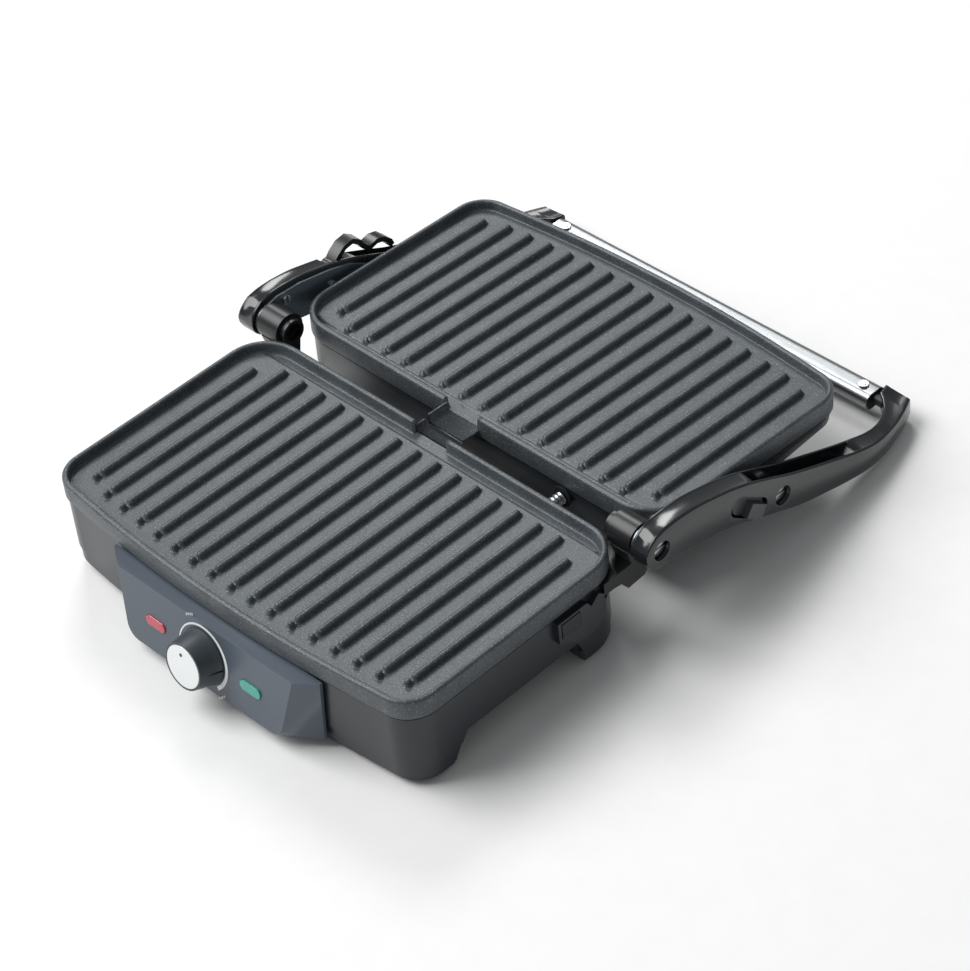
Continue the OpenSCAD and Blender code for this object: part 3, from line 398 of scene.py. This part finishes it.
# ---------------------------------------------------------------- casing and lid shell
# Injection-moulded casings in charcoal ABS, satin, with the mould's fine grain. Their edges
# are eased by the mould, so the pieces are copies of the frame's with their edges rounded.
def moulded(name, colour, rough, grain_mm, depth=0.25, coat_weight=0.0):
    """Moulded plastic: a colour that drifts from 0.9 to 1.12 of itself in flow clouds some
    55 mm across, shinier where it is darker, under a grain of grain_mm that a mould has."""
    material, tree, shader, place = finish(name, colour, rough, Coat_Weight=coat_weight,
                                           Coat_Roughness=0.12)
    dark, light = ((*[v * share for v in linear(colour)[:3]], 1.0) for share in (0.9, 1.12))
    cloud = add(tree, "TexNoise", [("Vector", place, "Object")], Scale=18.0, Detail=3.0)
    shade = add(tree, "Mix", [("Factor", cloud, "Fac")], data_type="RGBA",
                _6=dark, _7=light)
    tree.links.new(shade.outputs[2], shader.inputs["Base Color"])
    gloss = add(tree, "MapRange", [("Value", cloud, "Fac")], To_Min=rough * 0.85,
                To_Max=rough * 1.15)
    tree.links.new(gloss.outputs[0], shader.inputs["Roughness"])
    grain = add(tree, "TexNoise", [("Vector", place, "Object")], Scale=1000 / grain_mm,
                Detail=1.5)
    bump = add(tree, "Bump", [("Height", grain, "Fac")], Strength=depth, Distance=0.0001)
    tree.links.new(bump.outputs[0], shader.inputs["Normal"])
    return material


def eased(node, name, material, body, edge_mm, segments=2):
    """A copy of a CAD node with its loose triangles merged, its flat faces joined, its
    sharp edges rounded and the rest shaded smooth. It stands for the node."""
    sharp, same_place, flat = math.radians(32), 2e-6, math.radians(0.6)
    mesh = nodes[node].data.copy()
    mesh.name = name
    mesh.materials.clear()
    mesh.materials.append(material)
    piece = bpy.data.objects.new(name, mesh)
    bpy.context.scene.collection.objects.link(piece)
    bm = bmesh.new()
    bm.from_mesh(mesh)
    bmesh.ops.remove_doubles(bm, verts=bm.verts, dist=same_place)
    bmesh.ops.dissolve_limit(bm, angle_limit=flat, verts=bm.verts, edges=bm.edges)
    for face in bm.faces:
        face.smooth = True
    for e in bm.edges:
        e.smooth = not (e.is_manifold and e.calc_face_angle(0) > sharp)
    bm.to_mesh(mesh)
    bm.free()
    if edge_mm:
        ease = piece.modifiers.new("eased_edges", "BEVEL")
        ease.width, ease.segments = edge_mm / 1000, segments
        ease.limit_method, ease.angle_limit = "ANGLE", sharp
        ease.use_clamp_overlap, ease.harden_normals = True, True
    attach(piece, body)
    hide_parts(node)
    return piece


# charcoal gives a soft satin shine; the panel is bluer and paler; the cover is nearly matt
charcoal = moulded("charcoal_abs", "#23292f", 0.3, 0.5, 0.2)
panel_grey = moulded("panel_abs", "#4f5863", 0.34, 0.45, 0.15)
cover_black = moulded("cover_abs", "#1d2023", 0.5, 0.7)
eased("base_housing", "base_casing", charcoal, "base", 0.5)
eased("bottom_cover", "bottom_plate", cover_black, "base", 0.3)
eased("lid_housing", "lid_casing", charcoal, "lid", 0.5)
eased("control_panel", "front_panel", panel_grey, "base", 0.9, segments=3)

# ---------------------------------------------------------------- arms
# Moulded in glass-filled nylon. Each arm swells over the lid's pivot and turns in to the
# handle; its crown falls outwards to a crisp edge above the side face. The pins' heads lie
# in round wells in that face, and the lock slides in a slot.

# gloss black: a deep even shine with the light boxes mirrored along the crown
arm_black = moulded("gloss_black_nylon", "#1a1e21", 0.2, 0.8, 0.05, 0.4)
arm_low, arm_high = box_mm("arm_right")
arm_in, arm_out = box_mm("arm_bracket_right")[1][0] + 0.1, arm_high[0]
arm_back, nose = arm_high[1] - hinge_y, 12.0
# crown and keel: distance from the hinge's axis, and depth below it
crown = np.array([(-nose, 0), (-11.6, -3.1), (-10, -6.6), (-7, -9.75), (-3, -12.6),
                  (4, -14.4), (14, -14.7), (30, -13), (54, -7), (72, -0.5), (90, 8),
                  (103, 14.6), (121, 22), (139, 29), (157, 36), (180, 44), (205, 48.2),
                  (226.5, 49.5)])
keel = np.array([(-nose, 0), (-11.6, 3.1), (-10, 6.6), (-7, 9.75), (-3, 11.6), (3, 11.6),
                 (14, 13.2), (29, 16), (56, 22.3), (75, 30.6), (94, 38.3), (111, 45.3),
                 (121, 48.2), (147, 54.8), (170, 59.5), (190, 62), (226.5, 62.4)])
# the two arcs in plan, counted back from the arm's rear end
inner_r, inner_start, inner_chord, inner_stop = 46, 44, 42.8, 0.829
outer_r, outer_start = 150, 68.1
heel, heel_in, end_gap = 8, 20.3, 0.3
trough_near, trough_far, trough_ramp, trough_deep, full_high = 74, 166, 12, 9, 14
# one outline across the arm. Across: a share of the width and a fixed part in mm. Height:
# a drop from the top, or None and a rise from the keel; then shares of the crown's slope
# and of the trough's depth
across_arm = (
    (1, -1.6, None, 0, 0), (1, -0.5, None, 0.5, 0), (1, 0, None, 1.6, 0),
    (1, 0, 0.6, 1, 0), (1, -0.2, 0.2, 1, 0), (1, -0.6, 0, 0.96, 0), (0.91, 0, 0, 0.8, 0),
    (0.88, 0, 0, 0.74, 0), (0.87, -0.1, 0.15, 0.72, 0), (0.86, -0.2, 0.3, 0.7, 1),
    (0.16, 0, 0.3, 0.04, 1), (0.15, 0, 0.15, 0.03, 0), (0.13, 0, 0, 0.02, 0),
    (0, 1.0, 0, 0, 0), (0, 0.3, 0.3, 0, 0), (0, 0, 1.0, 0, 0), (0, 0, None, 1.2, 0),
    (0, 0.4, None, 0.4, 0), (0, 1.2, None, 0, 0))


def arm_body():
    """Closed outlines at stations along the arm: up the outer side to an edge about 2 mm
    below the crown, over the sloping crown, down into the trough over the lid's pivot, and
    down the inner side. Crown and keel run through their points, averaged with their
    neighbours three times. In plan the arm is straight and then turns inwards on two arcs,
    each x = start - r*(1-cos(turn)) with turn = arcsin(distance along it / its chord)."""
    y = np.concatenate([-nose * np.cos(np.linspace(0.08, 1, 12) * math.pi / 2)[:-1],
                        np.linspace(0, arm_back - 12, 74),
                        np.linspace(arm_back - 10, arm_back - 0.6, 8)])
    top, low = -np.interp(y, *crown.T), -np.interp(y, *keel.T)
    # the stations round the nose and by the heel stay as they are
    for _ in range(3):
        for curve in (top, low):
            curve[14:-9] = (curve[13:-10] + 2 * curve[14:-9] + curve[15:-8]) / 4
    turn = np.arcsin(np.clip((y - (arm_back - inner_start)) / inner_chord, 0, inner_stop))
    inner = arm_in - inner_r * (1 - np.cos(turn))
    inner = np.where(y > arm_back - heel, np.interp(
        y, (arm_back - heel, arm_back), (arm_in - heel_in, arm_low[0] + end_gap)), inner)
    turn = np.arcsin(np.clip((y - (arm_back - outer_start)) / outer_r, 0, 1))
    outer = arm_out - outer_r * (1 - np.cos(turn))
    # edges and slope shrink with the height, towards the nose
    ease = np.minimum(1, (top - low) / full_high)
    slope = np.interp(y, (-nose, 4, 150, 200), (0.6, 1.6, 2.2, 1.6)) * ease
    window = (np.clip((y - trough_near) / trough_ramp, 0, 1)
              * np.clip((trough_far - y) / trough_ramp, 0, 1))
    trough = trough_deep * window * window * (3 - 2 * window)
    outline = []
    for share, fixed, drop, of_slope, of_trough in across_arm:
        if drop is None:
            z = low + of_slope * ease
        else:
            z = top - drop * ease - of_slope * slope - of_trough * trough
        outline.append(np.stack([inner + share * (outer - inner) + fixed * ease, y,
                                 np.maximum(z, low)], -1))
    loft = np.stack(outline, 1) + (0, hinge_y, hinge_z)
    rows, columns = loft.shape[:2]
    ends = [tuple(range(columns))[::-1], tuple(range((rows - 1) * columns, rows * columns))]
    return loft.reshape(-1, 3), grid_faces(rows, columns, round_columns=True) + ends


def capsule(x0, x1, y, z, r, half=0, slope=0.0, sides=36):
    """A cutter: a slot with round ends of radius r, whose centres lie half on each side of
    its middle, turned by slope and carried along x. With half 0 it is a round hole."""
    a = np.arange(sides) * 2 * math.pi / sides
    u = r * np.cos(a) + np.where(np.cos(a) >= 0, half, -half)
    v = r * np.sin(a)
    c, s = math.cos(-slope), math.sin(-slope)
    ring = np.stack([0 * u, y + u * c - v * s, z + u * s + v * c], -1)
    return (np.concatenate([ring + (x0, 0, 0), ring + (x1, 0, 0)]),
            grid_faces(2, sides, round_columns=True)
            + [tuple(range(sides))[::-1], tuple(range(sides, 2 * sides))])


def mirrored(parts):
    """The same parts on the other side of the press, their faces turned back outwards."""
    return [(np.array(p) * (-1, 1, 1), [tuple(f)[::-1] for f in faces])
            for p, faces in parts]


def cut_away(piece, cutters):
    """Takes the cutters out of the piece, then shades edges sharper than 40 degrees."""
    for cutter in cutters:
        tool = surface(piece.name + "_cutter", [cutter], piece.data.materials[0], None)
        cut = piece.modifiers.new("cut", "BOOLEAN")
        cut.object, cut.operation, cut.solver = tool, "DIFFERENCE", "EXACT"
        shape = bpy.data.meshes.new_from_object(
            piece.evaluated_get(bpy.context.evaluated_depsgraph_get()))
        piece.modifiers.clear()
        piece.data = shape
        bpy.data.objects.remove(tool)
    mesh = piece.data
    mesh.polygons.foreach_set("use_smooth", np.full(len(mesh.polygons), True))
    mesh.set_sharp_from_angle(angle=math.radians(40))


well_r, well_deep, clear = 6.2, 6.4, 3
wells = [capsule(arm_out - well_deep, arm_out + clear, y, z, r=well_r, sides=40)
         for y, z in ((hinge_y, hinge_z), (pivot_y, pivot_z))]
lock_slot = capsule(arm_out - 5, arm_out + clear, hinge_y + 69.5, hinge_z - 17.5, r=6.6,
                    half=10, slope=math.radians(36))
lever_y, lever_z = joint_at["height_lever_turn"][1:]
lever_notch = capsule(-arm_out - clear, -arm_out + 9.5, lever_y + 3, lever_z + 9, r=7.6,
                      half=9, slope=math.radians(-60))
arm_right = surface("arm_shell_right", [arm_body()], arm_black, "arms", ["arm_right"])
arm_left = surface("arm_shell_left", mirrored([arm_body()]), arm_black, "arms",
                   ["arm_left"])
cut_away(arm_right, wells + [lock_slot])
cut_away(arm_left, mirrored(wells) + [lever_notch])

# ---------------------------------------------------------------- hinge, catches and levers
# Black nylon knuckles stand in the casing's corners; the catches and the grey lock slide
# are loose moulded pieces; the wavy lever sets how far the lid can come down.

# knuckles and catches are a little duller than the arms, the lever nearly as glossy
knuckle_black = moulded("satin_black_nylon", "#17191b", 0.34, 0.8, 0.12)
lock_grey = moulded("lock_nylon", "#4c5052", 0.42, 0.6)
lever_black = moulded("lever_nylon", "#16181a", 0.26, 0.6, 0.1)
for side in ("left", "right"):
    eased("hinge_knuckle_" + side, "knuckle_" + side, knuckle_black, "base", 0.5)
    eased("plate_catch_" + side, "catch_button_" + side, knuckle_black, "catch_" + side,
          0.4)
eased("lock_lever", "lock_slide_tab", lock_grey, "lock", 0.3)
eased("height_lever", "height_wave", lever_black, "height", 0.5, segments=3)


# ---------------------------------------------------------------- steel parts
# Stamped and zinc-plated brackets, turned pins and screws, and a handle rolled from
# stainless sheet over a black insert, held between the ends of the arms.
def metal(name, colour, rough, stretch, scale, depth=0.2):
    """Bright metal whose roughness swings by 0.3 of itself in fine scratches, 1000/scale mm
    apart and drawn out along an axis where stretch is small."""
    material, tree, shader, place = finish(name, colour, rough, 1.0)
    turn = add(tree, "Mapping", [("Vector", place, "Object")], Scale=stretch)
    lines = add(tree, "TexNoise", [("Vector", turn, "Vector")], Scale=scale, Detail=3.0)
    gloss = add(tree, "MapRange", [("Value", lines, "Fac")], To_Min=rough * 0.7,
                To_Max=rough * 1.3)
    tree.links.new(gloss.outputs[0], shader.inputs["Roughness"])
    bump = add(tree, "Bump", [("Height", lines, "Fac")], Strength=depth, Distance=0.00005)
    tree.links.new(bump.outputs[0], shader.inputs["Normal"])
    return material


# zinc plate is bluish and soft, turned steel bright; the brushed sheet has streaks along x
even, along_x = (1, 1, 1), (0.02, 1, 1)
zinc = metal("zinc_plated_steel", "#8f9aa2", 0.36, even, 900.0)
pin_steel = metal("turned_steel", "#c9cdd0", 0.22, even, 700.0)
stainless = metal("brushed_stainless", "#96999b", 0.34, along_x, 2600.0, 0.3)
for side in ("left", "right"):
    eased("arm_bracket_" + side, "bracket_" + side, zinc, "arms", 0.2)
for node, name, body, edge_mm in (
        ("hinge_pins", "hinge_pin_pair", "base", 0.3),
        ("lid_pins", "lid_pin_pair", "lid", 0.3),
        ("bracket_screws", "bracket_screw_set", "arms", 0.15),
        ("handle_screws", "handle_screw_pair", "arms", 0.2),
        ("height_lever_pin", "lever_pin", "arms", 0.1),
        ("bottom_screws", "cover_screw_set", "base", 0.15)):
    eased(node, name, pin_steel, body, edge_mm)
eased("lid_bushes", "lid_bush_pair", pin_steel, "lid", 0.3)
eased("handle_bar", "handle_shell", stainless, "arms", 0.0)
eased("handle_core", "handle_insert", cover_black, "arms", 0.3)

# ---------------------------------------------------------------- knob, dial and lamps
# A moulded black knob with a spun silver disc in its face turns inside a white printed arc.
# Two lenses of tinted polycarbonate, ribbed inside, stand a little proud of the panel.

# the knob is a matt dark grey with a fine grain
knob_black = moulded("knob_abs", "#394045", 0.4, 0.4, 0.3)
eased("knob", "knob_body", knob_black, "knob_body", 0.5, segments=3)
lean = math.radians(10)
face_y, face_z = joint_at["knob_turn"][1:]
print_high = 0.12


def on_face(points):
    """From the panel's face (across, up the face, out of it) to the frame: the face leans
    back by lean."""
    x, v, out = np.moveaxis(np.asarray(points, float), -1, 0)
    return np.stack([x, face_y + v * math.sin(lean) - out * math.cos(lean),
                     face_z + v * math.cos(lean) + out * math.sin(lean)], -1)


def dial_arc():
    """The printed arc as a raised film: a flat section carried round from 172 to -52
    degrees at a radius of 19.6 mm, while its width grows from 0.8 to 2.4 mm."""
    stations, arc_r = 90, 19.6
    a = np.radians(np.linspace(172, -52, stations))[:, None]
    wide = np.linspace(0.8, 2.4, stations)[:, None]
    section = np.array([(-0.5, 0), (-0.5, print_high), (0.5, print_high), (0.5, 0)])
    radius = arc_r + wide * section[:, 0]
    ring = np.stack([radius * np.cos(a), radius * np.sin(a),
                     np.broadcast_to(section[:, 1], radius.shape)], -1)
    last = 4 * (stations - 1)
    return (on_face(ring).reshape(-1, 3), grid_faces(stations, 4, round_columns=True)
            + [(3, 2, 1, 0), (last, last + 1, last + 2, last + 3)])


def tick(angle):
    """A short upright printed stroke, centred at an angle on a circle round the dial."""
    a, radius, half_wide, half_long = math.radians(angle), 25.2, 0.3, 0.85
    corners = np.array([(-half_wide, -half_long), (half_wide, -half_long),
                        (half_wide, half_long), (-half_wide, half_long)])
    flat = corners + radius * np.array([math.cos(a), math.sin(a)])
    points = np.concatenate([np.column_stack([flat, np.zeros(4)]),
                             np.column_stack([flat, np.full(4, print_high)])])
    return on_face(points), [(3, 2, 1, 0), (4, 5, 6, 7), (0, 1, 5, 4), (1, 2, 6, 5),
                             (2, 3, 7, 6), (3, 0, 4, 7)]


# pad-printed ink: flat white, a little uneven in gloss over about 1 mm
ink, tree, shader, place = finish("white_pad_print", "#eef0f0", 0.5)
speck = add(tree, "TexNoise", [("Vector", place, "Object")], Scale=900.0)
gloss = add(tree, "MapRange", [("Value", speck, "Fac")], To_Min=0.42, To_Max=0.6)
tree.links.new(gloss.outputs[0], shader.inputs["Roughness"])
strokes = [tick(first + step) for first in (110, -58) for step in (0, 4, 8, 12)]
surface("dial_print", [dial_arc()] + strokes, ink, "base", [], smooth=False)

# the pointer: a small raised dot near the rim of the disc
dot_sides, dot_r, dot_x, dot_up, dot_foot, dot_top = 24, 1.1, -1.5, 7.2, 14.2, 14.72
dot_a = np.arange(dot_sides) * 2 * math.pi / dot_sides
dot_ring = np.stack([dot_x + dot_r * np.cos(dot_a), dot_up + dot_r * np.sin(dot_a)], -1)
dot = on_face(np.concatenate([np.column_stack([dot_ring, np.full(dot_sides, out)])
                              for out in (dot_foot, dot_top)]))
surface("pointer_dot", [(dot, grid_faces(2, dot_sides, round_columns=True)
                         + [tuple(range(dot_sides))[::-1],
                            tuple(range(dot_sides, 2 * dot_sides))])],
        knob_black, "knob_body", [], smooth=False)
# spun aluminium: a pale, soft, even shine
cap_silver = metal("spun_aluminium", "#e9ecec", 0.34, even, 500.0)
eased("knob_cap", "knob_disc", cap_silver, "knob_body", 0.2)


def lens(name, node, colour, deep):
    """Tinted clear plastic: a wet shine over a colour that deepens in patches of some 4 mm,
    as the ribs inside break the light."""
    material, tree, shader, place = finish(name, colour, 0.12, Coat_Weight=0.6)
    bars = add(tree, "TexNoise", [("Vector", place, "Object")], Scale=260.0, Detail=2.0)
    tint = add(tree, "Mix", [("Factor", bars, "Fac")], data_type="RGBA",
               _6=linear(deep), _7=linear(colour))
    tree.links.new(tint.outputs[2], shader.inputs["Base Color"])
    eased(node, name, material, "base", 0.8, segments=3)


lens("power_lens", "power_lamp", "#c63a50", "#a82840")
lens("ready_lens", "ready_lamp", "#22a898", "#188c80")

# ---------------------------------------------------------------- feet, sleeves and insides
# Rubber feet and grommets, the spring sleeve between the halves, and what the casings hide:
# thermostat, terminals, fuses, pressed heaters and the trays that throw the heat upwards.

# the rubber is dull and dark with a coarse grain
rubber = moulded("black_rubber", "#131416", 0.7, 0.6, 0.4)
for node, body in (("rubber_feet", "base"), ("cord_gland", "base"),
                   ("lower_grommet", "base"), ("upper_grommet", "lid")):
    eased(node, node + "_piece", rubber, body, 0.25)
# tinned wire: bright, with each turn catching the light
sleeve_steel = metal("tinned_spring_steel", "#b9bec1", 0.3, even, 900.0)
sleeve_low, sleeve_high = box_mm("link_cable")


def spring_sleeve():
    """Turns of wire wound round a core, carried along y: the radius is the core's and the
    wire's thickness times |cos(turns*pi*t)|, where t runs from 0 to 1 along it."""
    stations, sides, core_r, wire, turns = 85, 28, 3.15, 0.82, 7
    way = np.linspace(sleeve_low[1], sleeve_high[1], stations)[:, None]
    t = (way - way[0]) / (way[-1] - way[0])
    radius = core_r + wire * np.abs(np.cos(t * turns * math.pi))
    a = np.arange(sides) * 2 * math.pi / sides
    x, z = (sleeve_low + sleeve_high)[[0, 2]] / 2
    ring = np.stack([x + radius * np.cos(a), np.broadcast_to(way, (stations, sides)),
                     z + radius * np.sin(a)], -1)
    last = (stations - 1) * sides
    return ring.reshape(-1, 3), (
        [f[::-1] for f in grid_faces(stations, sides, round_columns=True)]
        + [tuple(range(sides)), tuple(range(last, last + sides))[::-1]])


link = surface("spring_sleeve", [spring_sleeve()], sleeve_steel, None, ["link_cable"])
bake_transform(link)
# glazed steatite is cream and smooth; heater tube is brown with oxide; the trays are bright
ceramic = moulded("glazed_steatite", "#e6e2d4", 0.35, 0.9)
heater_steel = metal("oxidised_heater_tube", "#6f6a62", 0.5, even, 300.0)
bright_tray = metal("aluminised_sheet", "#c9cdd0", 0.35, even, 240.0)
for node, material in (
        ("thermostat", zinc), ("thermostat_shaft", pin_steel), ("terminal_block", ceramic),
        ("thermal_fuse", ceramic), ("upper_fuse", ceramic), ("lower_element", heater_steel),
        ("upper_element", heater_steel), ("lower_reflector", bright_tray),
        ("upper_reflector", bright_tray), ("lower_plate_screws", zinc),
        ("upper_plate_screws", zinc)):
    nodes[node].data.materials.clear()
    nodes[node].data.materials.append(material)
